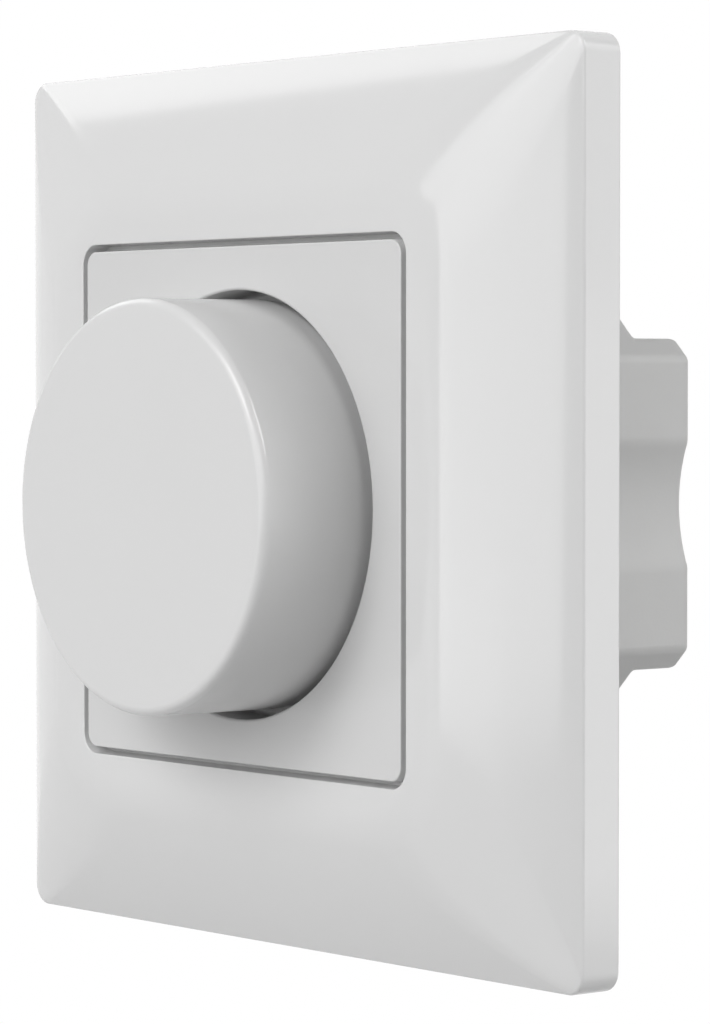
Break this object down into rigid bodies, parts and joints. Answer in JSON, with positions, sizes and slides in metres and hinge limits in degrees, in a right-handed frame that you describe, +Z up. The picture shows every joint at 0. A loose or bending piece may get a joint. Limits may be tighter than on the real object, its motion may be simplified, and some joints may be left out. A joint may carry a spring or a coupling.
{
  "type": "rotary dimmer switch",
  "caption": "Square wall dimmer: crowned cover frame, flush centre plate, large round push-and-turn knob, and a chamfered housing with a screw-on yoke for a round wall box.",
  "frame": {"origin": "middle of the wall surface behind the cover frame, on the knob's axis, between the box screws", "axes": "+X to the right seen from the front, +Y into the wall, +Z up"},
  "size_m": [0.086, 0.048, 0.086],
  "materials": {
    "trim_white": "smooth satin-gloss moulding",
    "knob_white": "smooth satin moulding",
    "housing_grey": "fine matt moulding",
    "zinc_steel": "zinc-plated sheet",
    "screw_steel": "zinc-plated",
    "spring_steel": "spring steel",
    "shaft_metal": "turned",
    "cast_zinc": "die-cast zinc",
    "brass": "machined and stamped brass and bronze",
    "black_plastic": "moulded",
    "board_green": "glass-fibre laminate",
    "core_coating": "coated iron powder ring",
    "copper_wire": "enamelled copper wire",
    "capacitor_box": "moulded box",
    "capacitor_can": "plain aluminium",
    "fuse_ceramic": "ceramic tube with end caps",
    "absorber_blue": "dipped coating"
  },
  "bodies": {
    "base": {"cover_frame": "trim_white", "centre_plate": "trim_white", "front_cover": "housing_grey", "rear_housing": "housing_grey", "mounting_yoke": "zinc_steel", "encoder_bracket": "zinc_steel", "yoke_screws": "screw_steel", "board_screws": "screw_steel", "terminal_screws": "screw_steel", "detent_spring": "spring_steel", "lock_washer": "spring_steel", "encoder_bushing": "cast_zinc", "plate_nut": "brass", "terminal_pillars": "brass", "encoder_pins": "brass", "header_pins": "brass", "switch_spring": "brass", "encoder_base": "black_plastic", "header_strip": "black_plastic", "controller_chip": "black_plastic", "power_transistors": "black_plastic", "control_board": "board_green", "power_board": "board_green", "choke_core": "core_coating", "choke_winding": "copper_wire", "film_capacitor": "capacitor_box", "electrolytic_capacitor": "capacitor_can", "heat_spreader": "capacitor_can", "fuse_link": "fuse_ceramic", "surge_absorber": "absorber_blue"},
    "plunger": {"switch_plunger": "black_plastic"},
    "knob": {"knob": "knob_white", "knob_clip": "spring_steel", "shaft": "shaft_metal", "shaft_circlip": "spring_steel"},
    "rotor": {"wiper_rotor": "black_plastic", "rotor_brush": "brass"}
  },
  "joints": [
    {"name": "push", "type": "slide", "parent": "base", "child": "plunger", "axis": [0, 1, 0], "range_m": [0, 0.0012], "stiffness_N_per_m": 1500, "springref_m": -0.002, "deforming": ["switch_spring"]},
    {"name": "turn", "type": "hinge", "parent": "plunger", "child": "knob", "pos_m": [0, 0, 0], "axis": [0, 1, 0], "continuous": true},
    {"name": "rotor_turn", "type": "hinge", "parent": "base", "child": "rotor", "pos_m": [0, 0, 0], "axis": [0, 1, 0], "continuous": true}
  ],
  "couplings": [
    {"joint": "rotor_turn", "follows": "turn", "ratio": 1}
  ]
}
